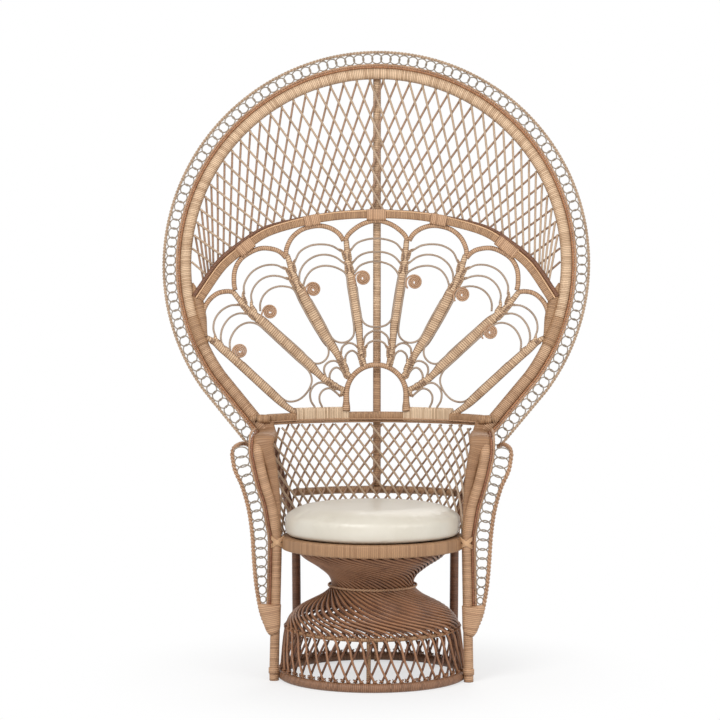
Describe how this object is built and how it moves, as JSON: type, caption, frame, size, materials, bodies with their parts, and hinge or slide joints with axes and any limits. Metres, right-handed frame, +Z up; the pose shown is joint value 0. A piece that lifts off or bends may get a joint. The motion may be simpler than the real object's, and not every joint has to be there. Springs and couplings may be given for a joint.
{
  "type": "peacock chair",
  "caption": "Woven rattan armchair with a large round fan back, low curved arms, a twisted drum base and a loose round seat cushion.",
  "frame": {"origin": "on the floor, below the middle of the overall box", "axes": "+Z up, the seat faces -Y, +X is the chair's left as one sits in it, to the right as one looks at it from the front"},
  "size_m": [1.0446, 0.486, 1.5094],
  "materials": {
    "rattan": "honey-tan rattan pole and cane, satin",
    "dark_rattan": "darker brown rattan, satin",
    "cane": "thin greyish-beige cane, satin",
    "leatherette": "pale cream, semi-gloss"
  },
  "bodies": {
    "chair": {"arch": "rattan", "arch_rear_bar_left": "dark_rattan", "arch_rear_bar_right": "dark_rattan", "arm_loops_left": "cane", "arm_loops_right": "cane", "arm_outer_cane_left": "rattan", "arm_outer_cane_right": "rattan", "arm_trim_pole_left": "dark_rattan", "arm_trim_pole_right": "dark_rattan", "base_hoop": "rattan", "centre_post": "dark_rattan", "crossbar": "rattan", "crossbar_cane": "dark_rattan", "drum_mid_hoop": "dark_rattan", "drum_strands_cross": "rattan", "drum_strands_main": "rattan", "drum_stud_front": "dark_rattan", "drum_stud_rear": "dark_rattan", "drum_waist_ring": "dark_rattan", "fan_hoop": "rattan", "fan_lattice_front": "rattan", "fan_lattice_rear": "dark_rattan", "fan_loops": "cane", "fan_outer_cane": "rattan", "fan_trim_cane": "rattan", "fan_trim_pole": "dark_rattan", "front_post_left": "rattan", "front_post_right": "rattan", "petal_cane_1": "cane", "petal_cane_2": "cane", "petal_cane_3": "cane", "petal_cane_4": "cane", "petal_cane_5": "cane", "petal_cane_6": "cane", "petal_cane_7": "cane", "petal_heart_arch": "rattan", "petal_lobe_1": "rattan", "petal_lobe_2": "rattan", "petal_lobe_3": "rattan", "petal_lobe_4": "rattan", "petal_lobe_5": "rattan", "petal_lobe_6": "rattan", "petal_lobe_7": "rattan", "petal_trunk_1": "rattan", "petal_trunk_2": "rattan", "petal_trunk_3": "rattan", "petal_trunk_4": "rattan", "petal_trunk_5": "rattan", "petal_trunk_6": "rattan", "petal_trunk_7": "rattan", "petal_trunk_8": "rattan", "rear_leg_left": "dark_rattan", "rear_leg_right": "dark_rattan", "seat_deck": "cane", "seat_ring": "rattan", "tub_lattice_inner": "rattan", "tub_lattice_outer": "dark_rattan", "tub_rear_rail": "dark_rattan"},
    "cushion": {"cushion": "leatherette"}
  },
  "joints": [
    {"name": "cushion_lift", "type": "slide", "parent": "chair", "child": "cushion", "axis": [0, 0, 1], "range_m": [0, 0.1]}
  ]
}
